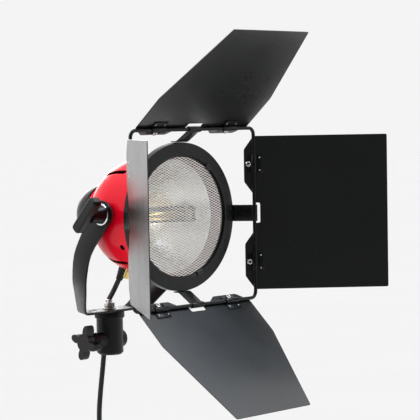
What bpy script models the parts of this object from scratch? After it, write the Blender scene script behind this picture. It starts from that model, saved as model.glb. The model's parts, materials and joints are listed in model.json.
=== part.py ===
"""Open-face halogen flood head with four barn doors, on its yoke and stand socket.

Metres, +Z up. The origin is the centre of the stand socket's mouth. The lamp faces -Y, and the head tilts
in the yoke about an axis along X.
"""

import math

import bmesh
import bpy
from mathutils import Matrix, Vector

# ---------------------------------------------------------------- driving dimensions
GAP = 0.0003  # between neighbouring pieces

RING_Y = -0.144  # front face of the door ring
AXIS_Z = 0.192  # lamp axis above the socket mouth
PIVOT = Vector((0.0, -0.0797, 0.198))  # centre of the tilt axis

HOUSING_R = 0.078
HOUSING_WALL = 0.002
HOUSING_FRONT = 0.0052  # front edge, behind the door ring's face
DOME_CENTRE = 0.0643  # where the cylinder turns into the hemisphere, behind the door ring's face
NECK_R = 0.0395
NECK_END = 0.145
VENT_ANGLES = (50, 130, 230, 310)  # round the lamp axis
VENT_START, VENT_END = 0.053, 0.094  # behind the door ring's face
VENT_WIDTH = 0.0065
SCREW_HOLE_ANGLES = (209, 331)
SCREW_HOLE_PLACE = 0.044
SCREW_HOLE_R = 0.004
GUIDE_X = 0.025
CLIP_ANGLE = -68
KNOB_R = 0.041
KNOB_PLACE = 0.1455

RING_OUTER_R = 0.0975
RING_INNER_R = 0.0805
RING_FLANGE = 0.010
RING_SHEET = 0.0015
APERTURE_R = 0.0785

FRAME_HALF = 0.1143  # rod centre line, from the lamp axis
FRAME_AHEAD = 0.0231  # rod centre line, ahead of the door ring
ROD_R = 0.0024
FRAME_CORNER_R = 0.009
STRAP_WIDTH = 0.022
STRAP_SHEET = 0.0014

PANEL_SHEET = 0.0011
PANEL_OFFSET = ROD_R + GAP + PANEL_SHEET / 2  # panel's middle plane, outside the rod
TAB_DEPTH = 0.013
TAB_ROOT = 0.0240  # inner corner of a tab at the rod, from the middle of its panel
TAB_INNER = 0.0420  # a tab's tip, from here
TAB_OUTER = 0.0855  # to here
HINGE_HALF = 0.1035  # a panel's half width along the rod
NOTCH_HALF = 0.0135
NOTCH_DEPTH = 0.008
CLAMP_PLACE = 0.066
CLAMP_LENGTH = 0.024
CLAMP_SHEET = 0.001

ARM_X = 0.0842  # middle of the yoke arm at the tilt axis
ARM_SHEET = 0.003
EYE_R = 0.018
PLATE_Z = 0.0605  # middle of the yoke's base plate
WASHER_SHEET = 0.0014

SOCKET_R = 0.0182
SOCKET_TOP = 0.0587
SOCKET_FLANGE_R = 0.0205
SOCKET_FLANGE = 0.008
SPIGOT_BORE_R = 0.0081
SPIGOT_DEPTH = 0.050
BOSS_R = 0.012
BOSS_Z = 0.020
BOSS_NEAR = -0.037
BOSS_FAR = 0.0216

CORD_R = 0.0035
GLAND_ANGLE = math.radians(56)  # gland's direction from the dome's centre, below straight back
CORD_START = 0.1063  # from the dome's centre along the gland's axis

ROCKER_TILT = math.radians(7)

TURN = 2 * math.pi
FACING_FRONT = (math.pi / 2, 0, 0)  # local +Z towards the lamp's front
FACING_BACK = (-math.pi / 2, 0, 0)
ALONG_X = (0, math.pi / 2, 0)
AGAINST_X = (0, -math.pi / 2, 0)
ALONG_GLAND = (math.pi * 3 / 2 - GLAND_ANGLE, 0, 0)  # out of the dome through the cable gland

LAMP_CENTRE = Vector((0, RING_Y, AXIS_Z))

for thing in list(bpy.data.objects):
    bpy.data.objects.remove(thing)

PARTS = bpy.data.collections.new("open_face_flood_head")
CUTTERS = bpy.data.collections.new("cutters")
for collection in (PARTS, CUTTERS):
    bpy.context.scene.collection.children.link(collection)


# ---------------------------------------------------------------- materials
def finish(name, colour, roughness, metallic=0.0):
    made = bpy.data.materials.new(name)
    made.use_nodes = True
    shader = made.node_tree.nodes["Principled BSDF"]
    shader.inputs["Base Color"].default_value = (*colour, 1)
    shader.inputs["Roughness"].default_value = roughness
    shader.inputs["Metallic"].default_value = metallic
    return made


RED_GLOSS = finish("red_gloss", (0.62, 0.005, 0.025), 0.18)
BLACK_PAINT = finish("black_paint", (0.015, 0.016, 0.017), 0.45)
BLACK_PANEL = finish("black_panel", (0.012, 0.014, 0.014), 0.6)
BLACK_CAST = finish("black_cast", (0.02, 0.02, 0.022), 0.5)
BLACK_PLASTIC = finish("black_plastic", (0.02, 0.02, 0.02), 0.35)
GREY_FIBRE = finish("grey_fibre", (0.2, 0.19, 0.17), 0.8)
STEEL = finish("steel", (0.6, 0.6, 0.58), 0.3, 1)
CHROME = finish("chrome", (0.85, 0.85, 0.86), 0.08, 1)
BRASS = finish("brass", (0.75, 0.55, 0.2), 0.3, 1)
BRIGHT_REFLECTOR = finish("bright_reflector", (0.86, 0.86, 0.84), 0.25, 1)
MESH_WIRE = finish("mesh_wire", (0.7, 0.69, 0.66), 0.35, 1)
CERAMIC = finish("ceramic", (0.8, 0.76, 0.68), 0.6)
QUARTZ = finish("quartz", (0.9, 0.9, 0.85), 0.05)
CORD_RUBBER = finish("cord_rubber", (0.015, 0.015, 0.016), 0.55)


# ---------------------------------------------------------------- modelling helpers
def link(thing, collection, material=None):
    collection.objects.link(thing)
    if material:
        thing.data.materials.append(material)
    return thing


def place(thing, location=(0, 0, 0), rotation=(0, 0, 0), parent=None):
    """Puts a piece at a world place. A parent here is an empty that is unturned at rest."""
    home = parent.matrix_world.translation if parent else Vector()
    thing.parent = parent
    thing.location = Vector(location) - home
    thing.rotation_euler = rotation
    return thing


def axis_empty(name, location, parent=None):
    empty = bpy.data.objects.new(name, None)
    PARTS.objects.link(empty)
    empty.empty_display_size = 0.02
    place(empty, location, parent=parent)
    bpy.context.view_layer.update()
    return empty


def smooth(mesh, angle=35):
    mesh.shade_smooth()
    mesh.set_sharp_from_angle(angle=math.radians(angle))


def from_bmesh(name, shape, material=None, collection=None):
    mesh = bpy.data.meshes.new(name)
    shape.to_mesh(mesh)
    shape.free()
    smooth(mesh)
    return link(bpy.data.objects.new(name, mesh), collection or PARTS, material)


def lathe(name, profile, material=None, steps=40, closed=False, collection=None):
    """A profile of (radius, height) points, down the outer side, turned about the local Z axis."""
    shape = bmesh.new()
    corners = [shape.verts.new((radius, 0, height)) for radius, height in profile]
    for first, second in zip(corners, corners[1:]):
        shape.edges.new((first, second))
    if closed:
        shape.edges.new((corners[-1], corners[0]))
    made = from_bmesh(name, shape, material, collection)
    turn = made.modifiers.new("turn", "SCREW")
    turn.steps = turn.render_steps = steps
    turn.use_merge_vertices = True
    turn.merge_threshold = 1e-6
    turn.use_smooth_shade = True
    return made


def cylinder(name, radius, bottom, top, material=None, sides=24, collection=None):
    shape = bmesh.new()
    bmesh.ops.create_cone(
        shape,
        cap_ends=True,
        segments=sides,
        radius1=radius,
        radius2=radius,
        depth=top - bottom,
        matrix=Matrix.Translation((0, 0, (top + bottom) / 2)),
    )
    return from_bmesh(name, shape, material, collection)


def box(name, size, material=None, bevel=0.0, centre=(0, 0, 0), collection=None):
    shape = bmesh.new()
    bmesh.ops.create_cube(shape, matrix=Matrix.Translation(centre) @ Matrix.Diagonal((*size, 1)))
    made = from_bmesh(name, shape, material, collection)
    if bevel:
        edges = made.modifiers.new("edges", "BEVEL")
        edges.width = bevel
        edges.segments = 2
    return made


def arc(centre, radius, start, end, count):
    """Points on an arc, angles in degrees."""
    step = (end - start) / (count - 1)
    angles = [math.radians(start + step * i) for i in range(count)]
    return [(centre[0] + radius * math.cos(a), centre[1] + radius * math.sin(a)) for a in angles]


def flat(name, outline, thickness, material=None, holes=(), collection=None):
    """A flat outline in the local XY plane, as thick as stated about that plane, made a mesh."""
    sheet = bpy.data.curves.new(name, "CURVE")
    sheet.dimensions = "2D"
    sheet.fill_mode = "BOTH"
    sheet.extrude = thickness / 2
    for loop in (outline, *holes):
        line = sheet.splines.new("POLY")
        line.points.add(len(loop) - 1)
        for point, (x, y) in zip(line.points, loop):
            point.co = (x, y, 0, 1)
        line.use_cyclic_u = True
    return as_mesh(bpy.data.objects.new(name, sheet), material, collection)


def as_mesh(curve_object, material=None, collection=None):
    """The same shape as a welded mesh, which a Boolean can cut or join."""
    name = curve_object.name
    bpy.context.scene.collection.objects.link(curve_object)
    bpy.context.view_layer.update()
    graph = bpy.context.evaluated_depsgraph_get()
    mesh = bpy.data.meshes.new_from_object(curve_object.evaluated_get(graph))
    bpy.data.objects.remove(curve_object)
    shape = bmesh.new()
    shape.from_mesh(mesh)
    bpy.data.meshes.remove(mesh)
    bmesh.ops.remove_doubles(shape, verts=shape.verts, dist=1e-6)
    bmesh.ops.recalc_face_normals(shape, faces=shape.faces)
    return from_bmesh(name, shape, material, collection)


def tube(name, points, radius, material=None, closed=False, resolution=2):
    line = bpy.data.curves.new(name, "CURVE")
    line.dimensions = "3D"
    line.bevel_depth = radius
    line.bevel_resolution = resolution
    line.use_fill_caps = not closed
    spline = line.splines.new("POLY")
    spline.points.add(len(points) - 1)
    for point, place_at in zip(spline.points, points):
        point.co = (*place_at, 1)
    spline.use_cyclic_u = closed
    return link(bpy.data.objects.new(name, line), PARTS, material)


def helper(thing):
    thing.hide_render = True
    thing.display_type = "WIRE"
    return thing


def cut(target, cutter, operation="DIFFERENCE"):
    """Cuts a helper out of the target, or joins it on."""
    step = target.modifiers.new(operation.lower(), "BOOLEAN")
    step.operation = operation
    step.object = helper(cutter)
    return target


def drill(target, name, radius, bottom, top, location, rotation=(0, 0, 0), sides=20):
    cutter = cylinder(name, radius, bottom, top, sides=sides, collection=CUTTERS)
    return cut(target, place(cutter, location, rotation))


def join(target, shape, location, rotation=(0, 0, 0)):
    return cut(target, place(shape, location, rotation), "UNION")


def washer(name, hole, radius, bottom, top, material, steps=28):
    profile = [(hole, top), (radius, top), (radius, bottom), (hole, bottom)]
    return lathe(name, profile, material, steps=steps, closed=True)


def thick_path(points, thickness):
    """The outline of a bent strip seen edge on: the path, offset to both sides."""
    sides = ([], [])
    for i, point in enumerate(points):
        before = Vector(points[max(i - 1, 0)])
        after = Vector(points[min(i + 1, len(points) - 1)])
        along = (after - before).normalized()
        across = Vector((-along.y, along.x)) * thickness / 2
        sides[0].append(tuple(Vector(point) + across))
        sides[1].append(tuple(Vector(point) - across))
    return sides[0] + sides[1][::-1]


def smooth_through(stations, count):
    """Points on a Catmull-Rom curve through the stations, each a tuple of numbers."""
    ends = [stations[0], *stations, stations[-1]]
    points = []
    for a, b, c, d in zip(ends, ends[1:], ends[2:], ends[3:]):
        for i in range(count):
            t = i / count
            weights = (
                (-t + 2 * t * t - t**3) / 2,
                (2 - 5 * t * t + 3 * t**3) / 2,
                (t + 4 * t * t - 3 * t**3) / 2,
                (-t * t + t**3) / 2,
            )
            points.append(tuple(sum(w * p for w, p in zip(weights, four)) for four in zip(a, b, c, d)))
    points.append(tuple(stations[-1]))
    return points


# ---------------------------------------------------------------- the tree of axes
head = axis_empty("tilt_axis", PIVOT)
doors = axis_empty("door_ring_axis", LAMP_CENTRE, head)
carriage = axis_empty("lamp_carriage_origin", LAMP_CENTRE, head)


def on_head(thing, location=LAMP_CENTRE, rotation=FACING_FRONT):
    """Places a piece of the tilting head. Unless told otherwise, its local Z is the lamp axis, forward."""
    return place(thing, location, rotation, head)


def behind(distance, x=0.0, z=0.0):
    """A world place on or beside the lamp axis, this far behind the door ring."""
    return Vector((x, RING_Y + distance, AXIS_Z + z))


def around(angle):
    """A turn that takes local X outward at this angle round the lamp axis, and local Y forward."""
    upright = Matrix(((1, 0, 0), (0, -1, 0), (0, 0, -1)))
    return (Matrix.Rotation(-math.radians(angle), 3, "Y") @ upright).to_euler()


# ---------------------------------------------------------------- lamp housing
def dome_profile(radius, start, end_radius, count):
    """Points on the hemisphere's profile from its equator to the neck, as (radius, -distance behind)."""
    last = math.acos(end_radius / radius)
    angles = [last * i / count for i in range(count + 1)]
    return [(radius * math.cos(a), -(start + radius * math.sin(a))) for a in angles]


def lamp_housing():
    inner = HOUSING_R - HOUSING_WALL
    outside = [(HOUSING_R, -HOUSING_FRONT), *dome_profile(HOUSING_R, DOME_CENTRE, NECK_R, 7)]
    inside = [(inner, -HOUSING_FRONT), *dome_profile(inner, DOME_CENTRE, NECK_R - HOUSING_WALL, 7)]
    neck = [(NECK_R, -NECK_END), (NECK_R - HOUSING_WALL, -NECK_END)]
    shell = on_head(lathe("lamp_housing", [*outside, *neck, *inside[::-1]], RED_GLOSS, closed=True))
    across, half = VENT_WIDTH / 2, (VENT_END - VENT_START) / 2
    outline = [*arc((0, half - across), across, 0, 180, 7), *arc((0, across - half), across, 180, 360, 7)]
    for angle in VENT_ANGLES:
        out, up = math.cos(math.radians(angle)), math.sin(math.radians(angle))
        slot = flat(f"cut_vent_{angle}", outline, 0.06, collection=CUTTERS)
        middle = behind((VENT_START + VENT_END) / 2, 0.07 * out, 0.07 * up)
        cut(shell, place(slot, middle, (0, math.radians(90 - angle), 0)))
    for angle in SCREW_HOLE_ANGLES:
        outward = (0, math.radians(90 - angle), 0)
        drill(shell, f"cut_screw_{angle}", SCREW_HOLE_R, 0.06, 0.09, behind(SCREW_HOLE_PLACE), outward)
    drill(shell, "cut_pivot", 0.0133, -0.1, 0.1, PIVOT, ALONG_X, sides=24)
    drill(shell, "cut_gland", 0.0063, 0.06, 0.09, behind(DOME_CENTRE), ALONG_GLAND)


def front_bezel():
    """Fixed ring behind the door ring: front lip, skirt and back lip round the housing."""
    profile = [
        (APERTURE_R, -0.0018),
        (0.0945, -0.0018),
        (0.0945, -0.0033),
        (0.0870, -0.0033),
        (0.0870, -0.0140),
        (0.0783, -0.0140),
        (0.0783, -0.0125),
        (0.0853, -0.0125),
        (0.0853, -0.0033),
        (APERTURE_R, -0.0033),
    ]
    on_head(lathe("front_bezel", profile, BLACK_PAINT, closed=True))


def mesh_guard():
    on_head(cylinder("mesh_guard", 0.0848, -0.0046, -0.0036, MESH_WIRE, sides=40))


def reflector():
    """Dished bowl, open to the front, with a slot each side that the lamp's ends pass through."""
    rim_r, rim, apex, sheet = 0.0752, 0.021, 0.072, 0.0011
    shares = [i / 7 for i in range(8)]
    front = [(rim_r * s, -(apex - (apex - rim) * s * s)) for s in shares]
    back = [(radius, height - sheet) for radius, height in front]
    bowl = on_head(lathe("reflector", front + back[::-1], BRIGHT_REFLECTOR, steps=36))
    for side, sign in (("left", -1), ("right", 1)):
        slot = box(f"cut_lamp_slot_{side}", (0.055, 0.070, 0.023), collection=CUTTERS)
        cut(bowl, place(slot, behind(0.055, x=sign * 0.0355)))


def rear_fittings():
    """Bulkhead across the neck, the carriage's guide rods and the terminal block, all fixed to it."""
    on_head(washer("rear_bulkhead", 0.0043, 0.0372, -0.143, -0.141, BLACK_PAINT))
    for side, sign in (("left", -1), ("right", 1)):
        rod = cylinder(f"guide_rod_{side}", 0.002, -0.1407, -0.0775, STEEL, sides=12)
        on_head(rod, behind(0, x=sign * GUIDE_X))
    on_head(box("terminal_block", (0.026, 0.010, 0.011), CERAMIC, bevel=0.0008), behind(0.1357, z=-0.023), (0, 0, 0))


def ring_clips():
    """Three hooked clips on the bezel's lip, which keep the door ring on and let it turn."""
    hook = [
        (0.0785, -0.0015),
        (0.0799, -0.0015),
        (0.0799, 0.0003),
        (0.0845, 0.0003),
        (0.0845, 0.0011),
        (0.0785, 0.0011),
    ]
    for i in range(3):
        on_head(flat(f"ring_clip_{i + 1}", hook, 0.010, STEEL), rotation=around(CLIP_ANGLE + 120 * i))


# ---------------------------------------------------------------- lamp, carriage and focus drive
def lamp_carriage():
    """Cross plate with a hub nut, which the focus screw drives along the guide rods."""
    plate = place(box("lamp_carriage", (0.108, 0.003, 0.024), STEEL), behind(0.0945), parent=carriage)
    hub = cylinder("carriage_nut", 0.008, -0.0045, 0.0075, sides=20, collection=CUTTERS)
    join(plate, hub, behind(0.0975), FACING_BACK)
    drill(plate, "cut_carriage_screw", 0.0043, -0.03, 0.03, behind(0.0985), FACING_FRONT)
    for side, sign in (("left", -1), ("right", 1)):
        drill(plate, f"cut_carriage_rod_{side}", 0.0023, -0.02, 0.02, behind(0.0945, x=sign * GUIDE_X), FACING_FRONT,
              sides=12)


def lampholders():
    """A ceramic contact block at each end of the lamp, on an arm back to the carriage."""
    outline = [
        (0.0396, 0.034),
        (0.0525, 0.034),
        (0.0525, 0.0926),
        (0.0475, 0.0926),
        (0.0475, 0.047),
        (0.0396, 0.047),
    ]
    for side, sign in (("left", -1), ("right", 1)):
        holder = flat(f"lampholder_{side}", [(sign * x, y) for x, y in outline], 0.015, CERAMIC)
        place(holder, LAMP_CENTRE, parent=carriage)


def halogen_lamp():
    """Double-ended quartz tube with a ceramic end at each side."""
    half = [(0.0, 0.0392), (0.0036, 0.0392), (0.0036, 0.0335), (0.0052, 0.0315), (0.0056, 0.027)]
    profile = half + [(radius, -height) for radius, height in half[::-1]]
    place(lathe("halogen_lamp", profile, QUARTZ, steps=16), behind(0.040), ALONG_X, carriage)


def focus_drive():
    """Dome knob on the tail, and the quick-thread screw that it turns."""
    profile = [(radius, height) for radius, height in arc((0, 0), KNOB_R, 90, 0, 9)]
    profile[0] = (0.0, KNOB_R)
    knob = on_head(lathe("focus_knob", [*profile, (0.0, 0.0)], BLACK_PLASTIC, steps=36), behind(KNOB_PLACE), FACING_BACK)
    drill(knob, "cut_focus_bore", 0.0043, -0.01, 0.02, behind(KNOB_PLACE), FACING_BACK)
    on_head(cylinder("focus_screw", 0.004, -0.1650, -0.080, STEEL, sides=20))


# ---------------------------------------------------------------- pivots and tilt lock
def pivots():
    """On each side a boss on the housing and a fibre disc between it and the yoke's eye."""
    for side, outward in (("left", AGAINST_X), ("right", ALONG_X)):
        boss = on_head(cylinder(f"pivot_boss_{side}", 0.013, 0.0715, 0.0809, BLACK_PAINT), PIVOT, outward)
        drill(boss, f"cut_boss_{side}", 0.0043, 0.06, 0.09, PIVOT, outward)
        place(washer(f"friction_disc_{side}", 0.0043, 0.0172, 0.0812, 0.0824, GREY_FIBRE), PIVOT, outward)
    place(washer("pivot_washer", 0.0043, 0.0145, 0.0860, 0.0875, CHROME), PIVOT, AGAINST_X)


def tilt_lock():
    """T handle with a round hub on its stud, at -X, and a flanged bolt at +X."""
    grip = box("tilt_knob", (0.014, 0.056, 0.0145), BLACK_PLASTIC, bevel=0.003)
    on_head(grip, PIVOT - Vector((0.1105, 0, 0)), (math.radians(-48), 0, 0))
    hub = [(0, 0.110), (0.0105, 0.110), (0.0115, 0.0915), (0.0125, 0.0879), (0, 0.0879)]
    join(grip, lathe("knob_hub", hub, steps=24, collection=CUTTERS), PIVOT, AGAINST_X)
    drill(grip, "cut_knob_stud", 0.0043, 0.080, 0.101, PIVOT, AGAINST_X)
    on_head(cylinder("tilt_stud", 0.004, 0.0735, 0.1005, STEEL, sides=20), PIVOT, AGAINST_X)
    shank = place(cylinder("pivot_bolt", 0.004, 0.0735, 0.0885, STEEL, sides=20), PIVOT, ALONG_X)
    flange = [(0, 0.0880), (0.0090, 0.0880), (0.0100, 0.0874), (0.0100, 0.0860), (0, 0.0860)]
    join(shank, lathe("pivot_bolt_flange", flange, steps=28, collection=CUTTERS), PIVOT, ALONG_X)
    join(shank, cylinder("pivot_bolt_hex", 0.0075, 0.0870, 0.0932, sides=6, collection=CUTTERS), PIVOT, ALONG_X)


# ---------------------------------------------------------------- yoke and stand socket
def yoke():
    """One bent strip: base plate, two arms that splay out and sweep forward, and an eye at each top."""
    back = -RING_Y
    # each station: front edge, then rear edge
    arm = [
        (0.052, 0.1253 - back, PLATE_Z, 0.036, 0.159 - back, PLATE_Z),
        (0.0605, 0.1245 - back, PLATE_Z + 0.0015, 0.0435, 0.158 - back, PLATE_Z + 0.0015),
        (0.0675, 0.1185 - back, PLATE_Z + 0.0105, 0.0500, 0.1535 - back, PLATE_Z + 0.0105),
        (0.0800, 0.1035 - back, 0.092, 0.0640, 0.1420 - back, 0.092),
        (ARM_X, 0.0975 - back, 0.112, 0.0770, 0.1305 - back, 0.112),
        (ARM_X, 0.0880 - back, 0.143, 0.0838, 0.1190 - back, 0.143),
        (ARM_X, 0.0655 - back, 0.170, ARM_X, 0.1040 - back, 0.170),
        (ARM_X, 0.0497 - back, 0.1875, ARM_X, 0.0790 - back, 0.2085),
    ]
    right = smooth_through(arm, 3)
    left = [(-row[0], row[1], row[2], -row[3], row[4], row[5]) for row in reversed(right)]
    shape = bmesh.new()
    rows = [[shape.verts.new(row[:3]), shape.verts.new(row[3:])] for row in left + right]
    for (a, b), (c, d) in zip(rows, rows[1:]):
        shape.faces.new((a, b, d, c))
    strip = from_bmesh("yoke", shape, BLACK_PAINT)
    sheet = strip.modifiers.new("sheet", "SOLIDIFY")
    sheet.thickness = ARM_SHEET
    sheet.offset = 0
    sheet.use_even_offset = True
    inner, outer = ARM_X - ARM_SHEET / 2, ARM_X + ARM_SHEET / 2
    for side, outward in (("left", AGAINST_X), ("right", ALONG_X)):
        join(strip, cylinder(f"eye_{side}", EYE_R, inner, outer, sides=32, collection=CUTTERS), PIVOT, outward)
        drill(strip, f"cut_eye_{side}", 0.0043, 0.07, 0.1, PIVOT, outward)
    drill(strip, "cut_plate_bolt", 0.0043, 0.05, 0.07, (0, 0, 0))
    drill(strip, "cut_plate_spare", 0.0045, 0.05, 0.07, (-0.024, 0.004, 0))


def socket():
    """Cast receiver for a 16 mm stand spigot, with a clamp boss across it."""
    top = SOCKET_TOP
    profile = [
        (0.0, top),
        (SOCKET_FLANGE_R, top),
        (SOCKET_FLANGE_R, top - SOCKET_FLANGE),
        (SOCKET_R, top - SOCKET_FLANGE - 0.0015),
        (SOCKET_R, 0.003),
        (SOCKET_R - 0.003, 0.0),
        (0.0, 0.0),
    ]
    body = lathe("socket_body", profile, BLACK_CAST, steps=36)
    boss = cylinder("socket_boss", BOSS_R, BOSS_NEAR, BOSS_FAR, sides=28, collection=CUTTERS)
    join(body, boss, (0, 0, BOSS_Z), ALONG_X)
    set_screw = cylinder("set_screw_head", 0.0030, 0.0100, 0.0128, sides=12, collection=CUTTERS)
    join(body, set_screw, (-0.028, 0, BOSS_Z), FACING_FRONT)
    drill(body, "cut_spigot", SPIGOT_BORE_R, -0.01, SPIGOT_DEPTH, (0, 0, 0), sides=32)
    drill(body, "cut_top_bolt", 0.0043, 0.04, 0.07, (0, 0, 0))
    drill(body, "cut_clamp", 0.0053, 0.0, 0.05, (0, 0, BOSS_Z), AGAINST_X)


def yoke_fasteners():
    """Bolt up through the socket and the yoke's plate, with its washer and nut."""
    bolt = cylinder("yoke_bolt", 0.004, 0.045, 0.0750, STEEL, sides=20)
    join(bolt, cylinder("yoke_bolt_hex", 0.0075, 0.0440, 0.0497, sides=6, collection=CUTTERS), (0, 0, 0))
    seat = PLATE_Z + ARM_SHEET / 2 + GAP
    washer("yoke_washer", 0.0043, 0.0088, seat, seat + WASHER_SHEET, STEEL, steps=24)
    on_washer = seat + WASHER_SHEET + GAP
    nut = cylinder("yoke_nut", 0.0075, on_washer, on_washer + 0.0066, STEEL, sides=6)
    drill(nut, "cut_nut", 0.0043, 0.055, 0.085, (0, 0, 0))


def socket_clamp():
    """Brass pad, M10 stud and four-lobed knob, along -X."""
    boss_axis = (0, 0, BOSS_Z)
    place(cylinder("clamp_pad", 0.0045, 0.0083, 0.0112, BRASS, sides=16), boss_axis, AGAINST_X)
    place(cylinder("clamp_stud", 0.005, 0.0115, 0.0470, STEEL, sides=20), boss_axis, AGAINST_X)
    rim = []
    for i in range(48):
        angle = TURN * i / 48
        reach = 0.0125 + 0.0120 * max(0.0, math.cos(4 * angle)) ** 0.7
        rim.append((reach * math.cos(angle), reach * math.sin(angle)))
    knob = flat("clamp_knob", rim, 0.0115, BLACK_PLASTIC)
    turned = Matrix.Rotation(math.radians(16), 3, "X") @ Matrix.Rotation(-math.pi / 2, 3, "Y")
    place(knob, (-0.0440, 0, BOSS_Z), turned.to_euler())
    drill(knob, "cut_knob_bore", 0.0053, 0.030, 0.0475, boss_axis, AGAINST_X)


# ---------------------------------------------------------------- barn doors
def door_ring():
    back = -RING_SHEET
    profile = [
        (RING_INNER_R, 0),
        (RING_OUTER_R, 0),
        (RING_OUTER_R, -RING_FLANGE),
        (RING_OUTER_R - RING_SHEET, -RING_FLANGE),
        (RING_OUTER_R - RING_SHEET, back),
        (RING_INNER_R, back),
    ]
    place(lathe("door_ring", profile, BLACK_PAINT, steps=48, closed=True), LAMP_CENTRE, FACING_FRONT, doors)


def door_frame():
    """Square of round rod with rounded corners, in the plane ahead of the ring."""
    inset = FRAME_HALF - FRAME_CORNER_R
    points = []
    for i, (x, z) in enumerate(((1, 1), (-1, 1), (-1, -1), (1, -1))):
        points += arc((x * inset, z * inset), FRAME_CORNER_R, 90 * i, 90 * i + 90, 5)
    rod = tube("door_frame", [(x, 0, z) for x, z in points], ROD_R, BLACK_PAINT, closed=True)
    place(rod, behind(-FRAME_AHEAD), parent=doors)


def frame_straps():
    """Four bent straps from the ring's flange to the rod, each closed round the rod."""
    root = RING_OUTER_R + GAP + STRAP_SHEET / 2
    wrap = ROD_R + GAP + STRAP_SHEET / 2
    path = [(root, -0.0085), (root, 0.0005), (root + 0.0012, 0.0030)]
    path += arc((FRAME_HALF, FRAME_AHEAD), wrap, 215, 215 - 300, 12)
    for side, angle in (("right", 0), ("top", 90), ("left", 180), ("bottom", 270)):
        strap = flat(f"strap_{side}", thick_path(path, STRAP_SHEET), STRAP_WIDTH, BLACK_PAINT)
        place(strap, LAMP_CENTRE, around(angle), doors)


def panel_outline(*corners):
    """Outline in the panel's own plane, X along the rod and Y outward: two tabs behind the rod, a notch
    between them for the strap, then the corners, each a half width and a distance out."""
    notch = [(NOTCH_HALF, NOTCH_DEPTH), (NOTCH_HALF, 0.0)]
    tab = [(TAB_ROOT, 0.0), (TAB_INNER, -TAB_DEPTH), (TAB_OUTER, -TAB_DEPTH), (HINGE_HALF, 0.0)]
    half = [*notch, *tab, *corners]
    return [(-x, y) for x, y in half[::-1]] + half


def leaf_axis(name, angle, open_angle):
    """An empty on the rod: local X along the rod, local Y out along the panel, local Z to the beam side."""
    outward = Vector((math.cos(math.radians(angle)), 0, math.sin(math.radians(angle))))
    opened = math.radians(open_angle)
    along_panel = outward * math.sin(opened) + Vector((0, -math.cos(opened), 0))
    along_rod = Vector((math.sin(math.radians(angle)), 0, -math.cos(math.radians(angle))))
    beam_side = along_rod.cross(along_panel)
    if beam_side.dot(outward) > 0:
        along_rod, beam_side = -along_rod, -beam_side
    hinge = axis_empty(f"{name}_axis", behind(-FRAME_AHEAD) + outward * FRAME_HALF, doors)
    hinge.rotation_euler = Matrix((along_rod, along_panel, beam_side)).transposed().to_euler()
    return hinge


def door_leaf(name, angle, open_angle, outline):
    """A panel and the two spring clamps that grip the rod, in an empty on the rod's axis."""
    hinge = leaf_axis(name, angle, open_angle)
    panel = flat(name, outline, PANEL_SHEET, BLACK_PANEL)
    panel.parent = hinge
    panel.location = (0, 0, -PANEL_OFFSET)

    wrap = ROD_R + GAP + CLAMP_SHEET / 2
    seat = -PANEL_OFFSET + PANEL_SHEET / 2 + GAP + CLAMP_SHEET / 2
    foot = math.degrees(math.asin(seat / wrap))
    ankle = wrap * math.cos(math.radians(foot)) + 0.0008
    bent = [(-0.0095, seat), (-ankle, seat), *arc((0, 0), wrap, 180 - foot, foot, 9), (ankle, seat), (0.0125, seat)]
    for side, sign in (("a", -1), ("b", 1)):
        clamp = flat(f"{name}_clamp_{side}", thick_path(bent, CLAMP_SHEET), CLAMP_LENGTH, BLACK_PAINT)
        clamp.parent = hinge
        clamp.location = (sign * CLAMP_PLACE, 0, 0)
        clamp.rotation_euler = (math.pi / 2, 0, math.pi / 2)


def barn_doors():
    tapered = panel_outline((HINGE_HALF, 0.057), (0.0693, 0.1837))
    square = panel_outline((HINGE_HALF, 0.1810))
    door_leaf("leaf_right", 0, 46.4, square)
    door_leaf("leaf_top", 90, 40.1, tapered)
    door_leaf("leaf_left", 180, 36.6, square)
    door_leaf("leaf_bottom", 270, 42.7, tapered)


# ---------------------------------------------------------------- cable gland and cord
def cable_gland():
    """Threaded body through the wall with a flange nut outside, and a ribbed tapering sleeve after it."""
    bore = CORD_R + GAP
    body = [
        (bore, 0.0862),
        (0.0086, 0.0862),
        (0.0092, 0.0850),
        (0.0092, 0.0790),
        (0.0060, 0.0790),
        (0.0060, 0.0720),
        (bore, 0.0720),
    ]
    on_head(lathe("cable_gland", body, BLACK_PLASTIC, steps=20, closed=True), behind(DOME_CENTRE), ALONG_GLAND)
    sleeve = [(bore, 0.1060)]
    for i in range(4):
        high = 0.1060 - 0.0046 * i
        radius = 0.0048 + 0.0007 * i
        sleeve += [(radius, high), (radius, high - 0.0028)]
        sleeve += [(radius - 0.0010, high - 0.0028), (radius - 0.0010, high - 0.0046)]
    sleeve += [(0.0078, 0.0876), (0.0078, 0.0865), (bore, 0.0865)]
    on_head(lathe("strain_relief", sleeve, CORD_RUBBER, steps=18, closed=True), behind(DOME_CENTRE), ALONG_GLAND)


def earth_screw():
    """Brass thumb screw under the housing, beside the gland."""
    profile = [(0, 0.0915), (0.0034, 0.0915), (0.0040, 0.0905), (0.0040, 0.0792), (0.0034, 0.0785), (0, 0.0785)]
    pointing = Vector((-0.14, 0.355, -0.924)).to_track_quat("Z", "Y").to_euler()
    on_head(lathe("earth_screw", profile, BRASS, steps=16), behind(DOME_CENTRE), pointing)


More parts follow.
